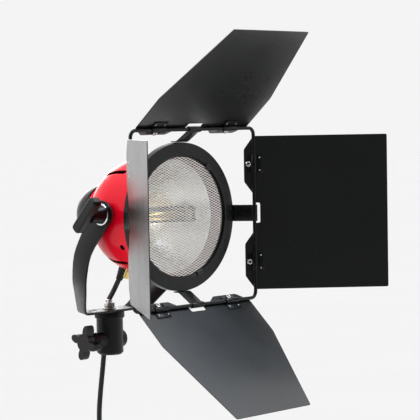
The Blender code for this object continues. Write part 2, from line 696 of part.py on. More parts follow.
GLAND_WAY = Vector((0, math.cos(GLAND_ANGLE), -math.sin(GLAND_ANGLE)))
CORD_EXIT = behind(DOME_CENTRE) + GLAND_WAY * CORD_START
SWITCH_CENTRE = Vector((0.0, 0.025, -0.1490))
SWITCH_SIZE = Vector((0.026, 0.022, 0.066))
SLEEVE = 0.020  # at each end of the switch, and on the plug
SWITCH_END = SWITCH_SIZE.z / 2 + SLEEVE
TAIL_START = SWITCH_CENTRE - Vector((0, 0, SWITCH_END + GAP))
TAIL_STRAIGHT = 0.012
TAIL_BEND_R = 0.034
TAIL_TURN = math.radians(60)  # where the tail lies along the coil's outer turn
COIL_R = 0.038  # middle of the turns
TURN_PITCH = 0.0072  # from one turn to the next
COIL_HALF_DEEP = 1.5 * TURN_PITCH + CORD_R + 0.0001  # four turns side by side
COIL_HALF_THICK = TURN_PITCH + CORD_R + 0.0001  # two turns and their step, outward
OUTER_TURN_R = COIL_R + TURN_PITCH
TAIL_JOINS = TAIL_START + Vector((
    TAIL_BEND_R * (1 - math.cos(TAIL_TURN)),
    0,
    -TAIL_STRAIGHT - TAIL_BEND_R * math.sin(TAIL_TURN),
))
COIL_CENTRE = TAIL_JOINS - Vector((
    OUTER_TURN_R * math.cos(TAIL_TURN),
    -1.5 * TURN_PITCH,
    OUTER_TURN_R * math.sin(TAIL_TURN),
))
PLUG_TOP = COIL_CENTRE + Vector((OUTER_TURN_R, 1.5 * TURN_PITCH, -0.0280))


def cord_lead():
    """From the strain relief, straight out, behind the yoke's plate, beside the socket and down."""
    stations = [
        CORD_EXIT,
        CORD_EXIT + GLAND_WAY * 0.012,
        Vector((0.0045, -0.0015, 0.0830)),
        Vector((0.0120, 0.0150, 0.0705)),
        Vector((0.0165, 0.0245, 0.0560)),
        Vector((0.0180, 0.0275, 0.0380)),
        Vector((0.0165, 0.0280, 0.0150)),
        Vector((0.0110, 0.0270, -0.0180)),
        Vector((0.0045, 0.0257, -0.0520)),
        SWITCH_CENTRE + Vector((0.0008, 0.0002, SWITCH_END + 0.0180)),
        SWITCH_CENTRE + Vector((0, 0, SWITCH_END + GAP)),
    ]
    tube("cord_lead", smooth_through(stations, 4), CORD_R, CORD_RUBBER)


def cord_tail():
    """From the switch down to the coil, where it bends round towards the coil's outer turn."""
    points = [TAIL_START, TAIL_START - Vector((0, 0, TAIL_STRAIGHT))]
    for i in range(1, 5):
        turned = math.radians(8 * i)
        sideways, down = TAIL_BEND_R * (1 - math.cos(turned)), TAIL_BEND_R * math.sin(turned)
        points.append(points[1] + Vector((sideways, 0, -down)))
    tube("cord_tail", points, CORD_R, CORD_RUBBER)


def cord_switch():
    """Inline rocker switch with a sleeve at each end, and its rocker in a pocket on the +Y face."""
    case = place(box("cord_switch", SWITCH_SIZE, BLACK_PLASTIC, bevel=0.004), SWITCH_CENTRE)
    root, tip = 0.0075, 0.0048
    half = [(0, SWITCH_END), (tip, SWITCH_END), (root, SWITCH_SIZE.z / 2 - 0.003)]
    ends = lathe("switch_sleeves", half + [(r, -z) for r, z in half[::-1]], steps=18, collection=CUTTERS)
    join(case, ends, SWITCH_CENTRE)
    face = SWITCH_CENTRE + Vector((0, SWITCH_SIZE.y / 2, 0))
    cut(case, place(box("cut_rocker", (0.0126, 0.010, 0.0206), collection=CUTTERS), face))
    sides = [(-0.0094, -0.0010), (0.0094, -0.0010), (0.0094, 0.0036), (0.0, 0.0018), (-0.0094, 0.0036)]
    rocker = flat("switch_rocker", sides, 0.0116, RED_GLOSS)
    upright = Matrix(((0, 0, 1), (0, 1, 0), (-1, 0, 0)))
    pressed = Matrix.Rotation(ROCKER_TILT, 3, "X") @ upright
    place(rocker, face - Vector((0, 0.0022, 0)), pressed.to_euler())


def cord_coil():
    """The outer shape of the wound cord, a ring of rounded square section."""
    corner = CORD_R
    section = []
    for i, (out, ahead) in enumerate(((1, 1), (-1, 1), (-1, -1), (1, -1))):
        centre = (COIL_R + out * (COIL_HALF_THICK - corner), ahead * (COIL_HALF_DEEP - corner))
        section += arc(centre, corner, 90 * i, 90 * i + 90, 4)
    place(lathe("cord_coil", section[::-1], CORD_RUBBER, steps=32, closed=True), COIL_CENTRE, FACING_FRONT)


def plug():
    """Moulded earthed plug with two round pins, hanging from the coil's outer turn."""
    profile = [
        (0, 0),
        (0.0042, 0),
        (0.0065, -SLEEVE),
        (0.0120, -SLEEVE - 0.006),
        (0.0182, -SLEEVE - 0.018),
        (0.0185, -SLEEVE - 0.038),
        (0.0, -SLEEVE - 0.038),
    ]
    body = place(lathe("plug", profile, BLACK_PLASTIC, steps=28), PLUG_TOP)
    for side, sign in (("left", -1), ("right", 1)):
        pin = cylinder(f"pin_{side}", 0.0024, -SLEEVE - 0.057, -SLEEVE - 0.030, sides=12, collection=CUTTERS)
        join(body, pin, PLUG_TOP + Vector((sign * 0.0095, 0, 0)))


# ---------------------------------------------------------------- build
for make in (
    lamp_housing,
    front_bezel,
    mesh_guard,
    reflector,
    rear_fittings,
    ring_clips,
    lamp_carriage,
    lampholders,
    halogen_lamp,
    focus_drive,
    pivots,
    tilt_lock,
    yoke,
    socket,
    yoke_fasteners,
    socket_clamp,
    door_ring,
    door_frame,
    frame_straps,
    barn_doors,
    cable_gland,
    earth_screw,
    cord_lead,
    cord_switch,
    cord_tail,
    cord_coil,
    plug,
):
    make()
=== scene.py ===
"""The looks of an open-face halogen flood head with four barn doors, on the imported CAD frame.

Metres, +Z up. The lamp faces -Y and the tilt axis runs along X.
"""

import json
import math

import bmesh
import bpy
from mathutils import Matrix, Vector, noise

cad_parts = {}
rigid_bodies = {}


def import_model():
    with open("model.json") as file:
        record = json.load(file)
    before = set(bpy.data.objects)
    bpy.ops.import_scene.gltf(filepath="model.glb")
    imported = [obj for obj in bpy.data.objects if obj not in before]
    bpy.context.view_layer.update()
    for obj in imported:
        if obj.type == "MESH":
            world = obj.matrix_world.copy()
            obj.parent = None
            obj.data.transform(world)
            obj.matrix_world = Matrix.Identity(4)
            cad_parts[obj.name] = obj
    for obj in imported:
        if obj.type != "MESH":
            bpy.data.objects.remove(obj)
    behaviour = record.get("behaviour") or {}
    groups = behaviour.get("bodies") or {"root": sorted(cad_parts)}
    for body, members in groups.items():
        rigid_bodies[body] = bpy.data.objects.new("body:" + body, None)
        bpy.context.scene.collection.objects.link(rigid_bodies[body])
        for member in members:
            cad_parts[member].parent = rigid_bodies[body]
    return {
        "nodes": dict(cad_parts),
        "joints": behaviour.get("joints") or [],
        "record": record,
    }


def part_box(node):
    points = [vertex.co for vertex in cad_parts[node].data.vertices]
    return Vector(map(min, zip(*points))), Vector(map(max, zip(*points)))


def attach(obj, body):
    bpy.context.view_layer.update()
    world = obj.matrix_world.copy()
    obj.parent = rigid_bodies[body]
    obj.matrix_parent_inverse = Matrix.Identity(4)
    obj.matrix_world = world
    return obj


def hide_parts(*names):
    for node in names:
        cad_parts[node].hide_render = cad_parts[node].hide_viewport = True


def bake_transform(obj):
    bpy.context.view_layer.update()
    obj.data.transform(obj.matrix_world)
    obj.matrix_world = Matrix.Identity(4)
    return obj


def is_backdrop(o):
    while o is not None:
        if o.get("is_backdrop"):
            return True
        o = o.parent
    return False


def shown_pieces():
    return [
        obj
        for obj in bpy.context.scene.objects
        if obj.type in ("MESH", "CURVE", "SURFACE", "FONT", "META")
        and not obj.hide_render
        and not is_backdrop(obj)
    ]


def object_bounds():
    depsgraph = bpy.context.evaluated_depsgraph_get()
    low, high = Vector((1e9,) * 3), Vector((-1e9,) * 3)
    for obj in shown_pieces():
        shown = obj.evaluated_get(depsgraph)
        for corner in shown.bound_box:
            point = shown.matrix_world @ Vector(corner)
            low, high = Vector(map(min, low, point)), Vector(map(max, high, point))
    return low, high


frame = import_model()
CAD_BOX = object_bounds()

FACING_FRONT = (math.pi / 2, 0, 0)  # local +Z towards the lamp's front
FACING_BACK = (-math.pi / 2, 0, 0)
ALONG_X = (0, math.pi / 2, 0)
AGAINST_X = (0, -math.pi / 2, 0)


def middle(node):
    """The middle of a CAD node's box."""
    low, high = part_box(node)
    return (Vector(low) + Vector(high)) / 2


def joint_place(name):
    return Vector(next(joint["pos_m"] for joint in frame["joints"] if joint["name"] == name))


RING_LOW, RING_HIGH = (Vector(corner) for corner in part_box("door_ring"))
AXIS_Z = (RING_LOW.z + RING_HIGH.z) / 2
RING_Y = RING_LOW.y
RING_R = (RING_HIGH.x - RING_LOW.x) / 2
LAMP_CENTRE = Vector((0, RING_Y, AXIS_Z))
PIVOT = joint_place("head_tilt")

CAMERA_PLACE = (-1.62876, -1.74787, 0.31887)
CAMERA_TURN = -46.34  # degrees about Z, from looking along +Y
CAMERA_DIP = 2.97  # degrees below level
CAMERA_ROLL = -0.98
CAMERA_LENS = 149.9  # mm, as the sensor's width
SENSOR_WIDTH = 36

GAP = 0.0003  # between pieces that touch
DOME_R = 0.078  # the housing's dome, outside
DOME_BACK = 0.0643  # its centre, behind the door ring's face
NECK_R = 0.0395
NECK_BACK = 0.145
WALL = 0.002


def behind(distance):
    """A place on the lamp axis, this far behind the door ring's face."""
    return LAMP_CENTRE + Vector((0, distance, 0))


# ---------------------------------------------------------------- camera
def make_camera():
    """A long lens in front of the lamp, to one side and a little above it."""
    data = bpy.data.cameras.new("camera")
    data.sensor_width = SENSOR_WIDTH
    data.lens = CAMERA_LENS
    data.clip_end = 100
    camera = bpy.data.objects.new("camera", data)
    bpy.context.scene.collection.objects.link(camera)
    heading = Matrix.Rotation(math.radians(CAMERA_TURN), 4, "Z")
    lowered = Matrix.Rotation(math.radians(90 - CAMERA_DIP), 4, "X")
    rolled = Matrix.Rotation(math.radians(CAMERA_ROLL), 4, "Z")
    camera.matrix_world = Matrix.Translation(CAMERA_PLACE) @ heading @ lowered @ rolled
    bpy.context.scene.camera = camera
    camera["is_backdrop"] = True


# ---------------------------------------------------------------- materials
class Nodes:
    """A short way to build a material's nodes."""

    def __init__(self, name):
        self.material = bpy.data.materials.new(name)
        self.material.use_nodes = True
        self.tree = self.material.node_tree
        self.shader = self.tree.nodes["Principled BSDF"]
        self.place = self.add("ShaderNodeTexCoord").outputs["Object"]

    def add(self, kind):
        return self.tree.nodes.new(kind)

    def join(self, output, socket):
        self.tree.links.new(output, socket)

    def noise(self, scale, detail, roughness=0.5):
        node = self.add("ShaderNodeTexNoise")
        node.inputs["Scale"].default_value = scale
        node.inputs["Detail"].default_value = detail
        node.inputs["Roughness"].default_value = roughness
        self.join(self.place, node.inputs["Vector"])
        return node.outputs["Fac"]

    def cells(self, scale):
        node = self.add("ShaderNodeTexVoronoi")
        node.inputs["Scale"].default_value = scale
        self.join(self.place, node.inputs["Vector"])
        return node.outputs["Distance"]

    def ramp(self, source, *stops):
        """Colours or greys along a 0 to 1 source."""
        node = self.add("ShaderNodeValToRGB")
        elements = node.color_ramp.elements
        while len(elements) < len(stops):
            elements.new(0.5)
        for element, (position, colour) in zip(elements, stops):
            element.position = position
            element.color = (*colour, 1) if isinstance(colour, tuple) else (colour, colour, colour, 1)
        self.join(source, node.inputs["Fac"])
        return node.outputs["Color"]

    def bump(self, source, depth, after=None):
        """Relief of this depth, on top of another bump's normal if there is one."""
        node = self.add("ShaderNodeBump")
        node.inputs["Strength"].default_value = 1.0
        node.inputs["Distance"].default_value = depth
        self.join(source, node.inputs["Height"])
        if after:
            self.join(after, node.inputs["Normal"])
        return node.outputs["Normal"]


def shade(colour, factor):
    """A lighter or darker colour."""
    return tuple(min(1.0, part * factor) for part in colour)


def surface(name, colour, rough, metallic=0.0, tone=0.15, tone_scale=30, rough_change=0.06, grains=(),
            **sockets):
    """A finish: mottled tone, uneven gloss, and one bump for each (kind, scale, depth) in grains."""
    nodes = Nodes(name)
    shader = nodes.shader
    cloud = nodes.noise(tone_scale, 5, 0.6)
    tones = nodes.ramp(cloud, (0.3, shade(colour, 1 - tone)), (0.7, shade(colour, 1 + tone)))
    nodes.join(tones, shader.inputs["Base Color"])
    gloss = nodes.noise(tone_scale * 2.3, 6, 0.7)
    change = nodes.ramp(gloss, (0.25, max(0.01, rough - rough_change)), (0.75, rough + rough_change))
    nodes.join(change, shader.inputs["Roughness"])
    shader.inputs["Metallic"].default_value = metallic
    normal = None
    for kind, scale, depth in grains:
        height = nodes.cells(scale) if kind == "cells" else nodes.noise(scale, 2)
        normal = nodes.bump(height, depth, after=normal)
    if normal:
        nodes.join(normal, shader.inputs["Normal"])
    for socket, value in sockets.items():
        shader.inputs[socket.replace("_", " ")].default_value = value
    return nodes.material


RED_ENAMEL = surface(
    "red_enamel", (0.95, 0.0012, 0.022), 0.34, tone=0.06, tone_scale=14,
    grains=[("noise", 420, 0.000006), ("noise", 60, 0.00002)], Specular_IOR_Level=0.06, Coat_Weight=0.36,
    Coat_Roughness=0.04,
)
BLACK_PAINT = surface(
    "black_paint", (0.0035, 0.0042, 0.0040), 0.30, tone=0.3, tone_scale=50, rough_change=0.08,
    grains=[("noise", 900, 0.00001)], Specular_IOR_Level=0.3,
)
BLACK_PANEL = surface(
    "black_panel", (0.0032, 0.0042, 0.0040), 0.30, tone=0.25, tone_scale=9, rough_change=0.05,
    grains=[("noise", 1500, 0.00001), ("noise", 12, 0.0001)], Specular_IOR_Level=0.35, Coat_Weight=0.6,
    Coat_Roughness=0.22,
)
BLACK_CAST = surface(
    "black_cast", (0.004, 0.004, 0.0042), 0.42, tone=0.3, tone_scale=80, rough_change=0.12,
    grains=[("cells", 700, 0.00006), ("noise", 220, 0.00005)], Specular_IOR_Level=0.25,
)
BLACK_PLASTIC = surface(
    "black_plastic", (0.005, 0.005, 0.005), 0.32, tone=0.2, tone_scale=60, rough_change=0.08,
    grains=[("cells", 1400, 0.00002)], Specular_IOR_Level=0.35,
)
ROCKER_RED = surface(
    "rocker_red", (0.42, 0.008, 0.006), 0.28, tone=0.1, tone_scale=90, grains=[("noise", 600, 0.00001)],
)
GREY_FIBRE = surface(
    "grey_fibre", (0.2, 0.19, 0.17), 0.85, tone=0.35, tone_scale=500, grains=[("noise", 1800, 0.0001)],
)
ZINC_STEEL = surface(
    "zinc_steel", (0.62, 0.62, 0.60), 0.30, metallic=1.0, tone=0.12, tone_scale=150, rough_change=0.1,
    grains=[("noise", 900, 0.00002)],
)
# A darker copy of the red enamel for the housing's inner faces: painted shade inside the dome.
SHADED_RED_INSIDE = surface(
    "red_inside", (0.10, 0.004, 0.006), 0.5, tone=0.3, tone_scale=60, grains=[("noise", 500, 0.00003)],
)
DARK_STEEL = surface(
    "dark_steel", (0.05, 0.05, 0.05), 0.40, metallic=1.0, tone=0.2, tone_scale=150, rough_change=0.1,
    grains=[("noise", 900, 0.00002)],
)
CHROME = surface(
    "chrome", (0.86, 0.86, 0.87), 0.09, metallic=1.0, tone=0.03, tone_scale=60, rough_change=0.04,
    grains=[("noise", 300, 0.000006)],
)
BRASS = surface(
    "brass", (0.85, 0.63, 0.22), 0.28, metallic=1.0, tone=0.15, tone_scale=120, rough_change=0.1,
    grains=[("noise", 700, 0.00002)],
)
MESH_ALUMINIUM = surface(
    "mesh_aluminium", (0.95, 0.93, 0.90), 0.40, metallic=0.15, tone=0.06, tone_scale=200, rough_change=0.1,
    grains=[("noise", 2500, 0.00001)],
)
PEBBLED = surface(
    "pebbled_aluminium", (0.95, 0.95, 0.93), 0.26, metallic=0.9, tone=0.04, tone_scale=25,
    grains=[("cells", 420, 0.00010), ("noise", 1800, 0.00001)],
)
CERAMIC = surface(
    "ceramic", (0.20, 0.17, 0.13), 0.62, tone=0.08, tone_scale=90, grains=[("noise", 1100, 0.00003)],
)
TUNGSTEN = surface(
    "tungsten", (0.35, 0.30, 0.24), 0.35, metallic=1.0, tone=0.2, tone_scale=300,
    grains=[("noise", 2500, 0.00001)],
)
CORD_RUBBER = surface(
    "cord_rubber", (0.016, 0.016, 0.017), 0.55, tone=0.25, tone_scale=120, rough_change=0.12,
    grains=[("noise", 900, 0.00005)], Specular_IOR_Level=0.4,
)


def quartz():
    """Glass with a haze, tinted an uneven amber as a painted reflection that stands in for yellow glints
    along the tube's edges.
    """
    nodes = Nodes("quartz")
    haze = nodes.noise(60, 4)
    nodes.join(nodes.ramp(haze, (0.3, 0.02), (0.8, 0.08)), nodes.shader.inputs["Roughness"])
    # The amber base colour is painted reflection: it stands in for the yellow glints at the tube's edges.
    painted_yellow_reflection = nodes.ramp(nodes.noise(35, 3), (0.3, (0.80, 0.52, 0.11)), (0.7, (0.90, 0.70, 0.28)))
    nodes.join(painted_yellow_reflection, nodes.shader.inputs["Base Color"])
    nodes.shader.inputs["IOR"].default_value = 1.46
    nodes.shader.inputs["Transmission Weight"].default_value = 0.85
    return nodes.material


QUARTZ = quartz()

CAD_FINISHES = {
    "red_gloss": RED_ENAMEL,
    "black_paint": BLACK_PAINT,
    "black_panel": BLACK_PANEL,
    "black_cast": BLACK_CAST,
    "black_plastic": BLACK_PLASTIC,
    "rocker_red": ROCKER_RED,
    "grey_fibre": GREY_FIBRE,
    "steel": ZINC_STEEL,
    "chrome": CHROME,
    "brass": BRASS,
    "bright_reflector": PEBBLED,
    "mesh_wire": MESH_ALUMINIUM,
    "ceramic": CERAMIC,
    "quartz": QUARTZ,
    "cord_rubber": CORD_RUBBER,
}


# ---------------------------------------------------------------- mesh helpers
def piece(name, shape, material, body, sharp=35, bevel=0.0, segments=2, location=(0, 0, 0),
          rotation=(0, 0, 0), ride=True):
    """A bmesh made a piece that rides on a body."""
    mesh = bpy.data.meshes.new(name)
    bmesh.ops.recalc_face_normals(shape, faces=shape.faces)
    shape.to_mesh(mesh)
    shape.free()
    mesh.materials.append(material)
    mesh.shade_smooth()
    mesh.set_sharp_from_angle(angle=math.radians(sharp))
    made = bpy.data.objects.new(name, mesh)
    bpy.context.scene.collection.objects.link(made)
    made.location = location
    made.rotation_euler = rotation
    if bevel:
        add_bevel(made, bevel, segments)
    if ride:
        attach(made, body)
    return made


def add_bevel(thing, width, segments, angle=40):
    edges = thing.modifiers.new("edges", "BEVEL")
    edges.width = width
    edges.segments = segments
    edges.limit_method = "ANGLE"
    edges.angle_limit = math.radians(angle)
    edges.use_clamp_overlap = True


def turned(profile, steps, closed=False):
    """(radius, height) points turned about local Z. An open profile starts and ends on the axis."""
    shape = bmesh.new()
    rings = []
    for radius, height in profile:
        if radius == 0:
            rings.append([shape.verts.new((0, 0, height))])
            continue
        angles = [math.tau * i / steps for i in range(steps)]
        rings.append([shape.verts.new((radius * math.cos(a), radius * math.sin(a), height)) for a in angles])
    pairs = list(zip(rings, rings[1:]))
    if closed:
        pairs.append((rings[-1], rings[0]))
    for first, second in pairs:
        for i in range(steps):
            j = (i + 1) % steps
            inner, outer = len(first), len(second)
            corners = [first[i % inner], first[j % inner], second[j % outer], second[i % outer]]
            corners = list(dict.fromkeys(corners))
            if len(corners) > 2:
                shape.faces.new(corners)
    return shape


def drill(radius, near, far, steps=32):
    """A closed cylinder on local Z, to cut a hole with."""
    return turned([(0, far), (radius, far), (radius, near), (0, near)], steps)


def arc(centre, radius, start, end, count):
    """Points on an arc between two angles in degrees."""
    angles = [math.radians(start + (end - start) * i / (count - 1)) for i in range(count)]
    return [(centre[0] + radius * math.cos(a), centre[1] + radius * math.sin(a)) for a in angles]


def softened(outline, radius, count=5):
    """The outline with each corner rounded, as far as its sides allow."""
    rounded = []
    for i, corner in enumerate(outline):
        here = Vector(corner)
        before, after = Vector(outline[i - 1]) - here, Vector(outline[(i + 1) % len(outline)]) - here
        reach = min(radius, before.length * 0.45, after.length * 0.45)
        first, last = here + before.normalized() * reach, here + after.normalized() * reach
        for step in range(count):
            t = step / (count - 1)
            rounded.append(tuple(first.lerp(here, t).lerp(here.lerp(last, t), t)))
    return rounded


def slab(outline, low, high, matrix=None):
    """A flat outline in local XY, from one height to another."""
    shape = bmesh.new()
    bottom = [shape.verts.new((x, y, low)) for x, y in outline]
    top = [shape.verts.new((x, y, high)) for x, y in outline]
    shape.faces.new(bottom[::-1])
    shape.faces.new(top)
    for i in range(len(outline)):
        j = (i + 1) % len(outline)
        shape.faces.new((bottom[i], bottom[j], top[j], top[i]))
    if matrix:
        bmesh.ops.transform(shape, matrix=matrix, verts=bottom + top)
    return shape


def swept(points, radius, sides, closed=False):
    """A round tube along a path, its section carried along without twist."""
    points = [Vector(point) for point in points]
    count = len(points)
    shape = bmesh.new()
    rings = []
    across = None
    for i, point in enumerate(points):
        before = points[i - 1] if i or closed else point
        after = points[(i + 1) % count] if i < count - 1 or closed else point
        along = (after - before).normalized()
        if across is None:
            across = along.orthogonal().normalized()
        across = (across - along * across.dot(along)).normalized()
        up = along.cross(across)
        angles = [math.tau * k / sides for k in range(sides)]
        ways = [across * math.cos(a) + up * math.sin(a) for a in angles]
        rings.append([shape.verts.new(point + way * radius) for way in ways])
    pairs = list(zip(rings, rings[1:]))
    if closed:
        pairs.append((rings[-1], rings[0]))
    for first, second in pairs:
        for k in range(sides):
            j = (k + 1) % sides
            shape.faces.new((first[k], first[j], second[j], second[k]))
    if not closed:
        shape.faces.new(rings[0][::-1])
        shape.faces.new(rings[-1])
    return shape


def through(stations, count):
    """Points on a Catmull-Rom curve through the stations."""
    ends = [stations[0], *stations, stations[-1]]
    points = []
    for a, b, c, d in zip(ends, ends[1:], ends[2:], ends[3:]):
        for i in range(count):
            t = i / count
            points.append(
                a * ((-t + 2 * t * t - t**3) / 2)
                + b * ((2 - 5 * t * t + 3 * t**3) / 2)
                + c * ((t + 4 * t * t - 3 * t**3) / 2)
                + d * ((-t * t + t**3) / 2)
            )
    return [*points, stations[-1]]


def cut_out(thing, cutter_shape, name, location=(0, 0, 0), rotation=(0, 0, 0)):
    """Cuts a bmesh out of a piece, at once."""
    mesh = bpy.data.meshes.new(name)
    bmesh.ops.recalc_face_normals(cutter_shape, faces=cutter_shape.faces)
    cutter_shape.to_mesh(mesh)
    cutter_shape.free()
    cutter = bpy.data.objects.new(name, mesh)
    bpy.context.scene.collection.objects.link(cutter)
    cutter.location = location
    cutter.rotation_euler = rotation
    step = thing.modifiers.new(name, "BOOLEAN")
    step.object = cutter
    step.operation = "DIFFERENCE"
    step.solver = "EXACT"
    bpy.context.view_layer.update()
    graph = bpy.context.evaluated_depsgraph_get()
    result = bpy.data.meshes.new_from_object(thing.evaluated_get(graph))
    thing.modifiers.remove(step)
    thing.data = result
    bpy.data.objects.remove(cutter)


# ---------------------------------------------------------------- cord
CORD_R = 0.0035
GLAND_ANGLE = math.radians(56)
GLAND_WAY = Vector((0, math.cos(GLAND_ANGLE), -math.sin(GLAND_ANGLE)))
DOME_CENTRE = behind(DOME_BACK)
CORD_START = 0.1063  # from the dome's centre along the gland's axis
CORD_EXIT = DOME_CENTRE + GLAND_WAY * CORD_START
SWITCH_CENTRE = Vector((0.0, 0.025, -0.1490))
SWITCH_END = 0.033 + 0.020  # half the case and the sleeve at its end
TURN_PITCH = 0.0072
COIL_R = 0.038  # middle of the inner turns
OUTER_TURN_R = COIL_R + TURN_PITCH
LAYERS = 4  # flat spirals side by side
TURNS_PER_LAYER = 2
STEPS_PER_TURN = 36
STEP_OVER = 0.15  # of a turn, to move from one spiral to the next
PLUG_DROP = 0.028


def lead_points():
    """From the strain relief in a slack bow past the yoke, then straight down into the switch."""
    stations = [
        CORD_EXIT,
        CORD_EXIT + GLAND_WAY * 0.012,
        Vector((0.0045, -0.0015, 0.0830)),
        Vector((0.0120, 0.0150, 0.0705)),
        Vector((0.0165, 0.0245, 0.0560)),
        Vector((0.0180, 0.0275, 0.0380)),
        Vector((0.0165, 0.0280, 0.0150)),
        Vector((0.0110, 0.0270, -0.0180)),
        Vector((0.0045, 0.0257, -0.0520)),
        SWITCH_CENTRE + Vector((0.0008, 0.0002, SWITCH_END + 0.0180)),
        SWITCH_CENTRE + Vector((0, 0, SWITCH_END)),
    ]
    return through(stations, 8)


def wound_points():
    """From the switch down and round into the coil, flat spirals side by side, then down to the plug."""
    start = SWITCH_CENTRE - Vector((0, 0, SWITCH_END))
    straight, bend_r, turn = 0.0123, 0.034, math.radians(60)
    points = [start.copy(), start - Vector((0, 0, straight / 2)), start - Vector((0, 0, straight))]
    bend_steps = 10
    for i in range(1, bend_steps):
        a = turn * i / bend_steps
        points.append(points[2] + Vector((bend_r * (1 - math.cos(a)), 0, -bend_r * math.sin(a))))
    joins = points[2] + Vector((bend_r * (1 - math.cos(turn)), 0, -bend_r * math.sin(turn)))
    first = -(LAYERS - 1) / 2  # the first spiral, in pitches from the middle of the coil
    from_centre = Vector((OUTER_TURN_R * math.cos(turn), first * TURN_PITCH, OUTER_TURN_R * math.sin(turn)))
    centre = joins - from_centre
    total = LAYERS * TURNS_PER_LAYER + turn / math.tau
    steps = round(total * STEPS_PER_TURN)
    for i in range(steps + 1):
        done = total * i / steps
        layer = min(LAYERS - 1, int(done / TURNS_PER_LAYER))
        within = min(TURNS_PER_LAYER, done - TURNS_PER_LAYER * layer)
        radius = OUTER_TURN_R - TURN_PITCH * (within if layer % 2 == 0 else TURNS_PER_LAYER - within)
        moved = (within - (TURNS_PER_LAYER - STEP_OVER)) / STEP_OVER
        shift = min(1.0, max(0.0, moved)) if layer < LAYERS - 1 else 0.0
        ahead = (first + layer + shift * shift * (3 - 2 * shift)) * TURN_PITCH
        angle = turn - math.tau * done
        points.append(centre + Vector((radius * math.cos(angle), ahead, radius * math.sin(angle))))
    side = points[-1]
    return points + [side - Vector((0, 0, PLUG_DROP * i / 4)) for i in range(1, 5)]


def make_cords():
    route = lead_points()
    lead = piece("cord_lead_skin", swept(route, CORD_R, 20), CORD_RUBBER, None, ride=False)
    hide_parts("cord_lead")
    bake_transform(lead)
    route = wound_points()
    wound = piece("cord_wound_skin", swept(route, CORD_R, 16), CORD_RUBBER, "base")
    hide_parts("cord_tail", "cord_coil")


# ---------------------------------------------------------------- lamp housing and mouth
VENT_ANGLES = (50, 130, 230, 310)
VENT_BACK = 0.0735  # middle of a slot, behind the door ring's face
VENT_HALF = 0.01725  # from there to the middle of its round end
VENT_R = 0.00325
SCREW_HOLE_ANGLES = (209, 331)
SCREW_HOLE_BACK = 0.044
SCREW_HOLE_R = 0.004
PIVOT_HOLE_R = 0.0133
GLAND_HOLE_R = 0.0063
CUT_FROM, CUT_TO = 0.06, 0.09  # a drill that passes through the wall on one side only


def lamp_housing():
    """A thin dome with a straight front and an open neck, and its vents and holes."""
    inner, mouth = DOME_R - WALL, -0.0058
    last = math.degrees(math.acos(NECK_R / DOME_R))
    inner_last = math.degrees(math.acos((NECK_R - WALL) / inner))
    front = [(0.0765, -0.0054), (0.0775, -0.0052), (DOME_R, mouth)]
    outside = front + [(radius, -(DOME_BACK + depth)) for radius, depth in arc((0, 0), DOME_R, 0, last, 24)]
    inside = [(radius, -(DOME_BACK + depth)) for radius, depth in arc((0, 0), inner, 0, inner_last, 20)]
    edge = 0.0004
    neck_end = [(NECK_R, -NECK_BACK + edge), (NECK_R - edge, -NECK_BACK), (NECK_R - WALL, -NECK_BACK)]
    profile = [*outside, *neck_end, *inside[::-1], (inner, mouth)]
    shell = piece("lamp_housing_shell", turned(profile, 144, closed=True), RED_ENAMEL, "head", ride=False,
                  location=LAMP_CENTRE, rotation=FACING_FRONT)
    slot = arc((0, VENT_HALF), VENT_R, 0, 180, 12) + arc((0, -VENT_HALF), VENT_R, 180, 360, 12)
    for angle in VENT_ANGLES:
        out = Vector((math.cos(math.radians(angle)), 0, math.sin(math.radians(angle))))
        facing_out = (0, math.radians(90 - angle), 0)
        cut_out(shell, slab(slot, -0.03, 0.03), f"vent_{angle}", behind(VENT_BACK) + out * 0.07, facing_out)
    for angle in SCREW_HOLE_ANGLES:
        facing_out = (0, math.radians(90 - angle), 0)
        hole = drill(SCREW_HOLE_R, CUT_FROM, CUT_TO)
        cut_out(shell, hole, f"screw_hole_{angle}", behind(SCREW_HOLE_BACK), facing_out)
    cut_out(shell, drill(PIVOT_HOLE_R, -0.1, 0.1, 48), "pivot_hole", PIVOT, ALONG_X)
    along_gland = (math.pi * 3 / 2 - GLAND_ANGLE, 0, 0)
    cut_out(shell, drill(GLAND_HOLE_R, CUT_FROM, CUT_TO), "gland_hole", DOME_CENTRE, along_gland)
    shell.data.shade_smooth()
    shell.data.set_sharp_from_angle(angle=math.radians(35))
    # The inner faces of the wall take the darker red: painted shade inside the housing.
    shell.data.materials.append(SHADED_RED_INSIDE)
    halfway = 0.0772  # between the inside and the outside of the wall
    for polygon in shell.data.polygons:
        outward = Vector((polygon.center.x, polygon.center.y, min(0.0, polygon.center.z + DOME_BACK)))
        if polygon.normal.dot(outward) < 0 and outward.length < halfway:
            polygon.material_index = 1
    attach(shell, "head")
    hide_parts("lamp_housing")


def rivet(name, body, place_at, rotation, radius=0.0012, height=0.0007, material=ZINC_STEEL):
    """A domed head, its base at the place, facing local +Z."""
    sunk = -0.0002
    angles = [math.radians(a) for a in range(0, 90, 15)]
    dome = [(radius * math.cos(a), height * math.sin(a)) for a in angles]
    shape = turned([(0, sunk), (radius, sunk), *dome, (0, height)], 20)
    made = piece(name, shape, material, body, sharp=60, location=place_at, rotation=rotation)


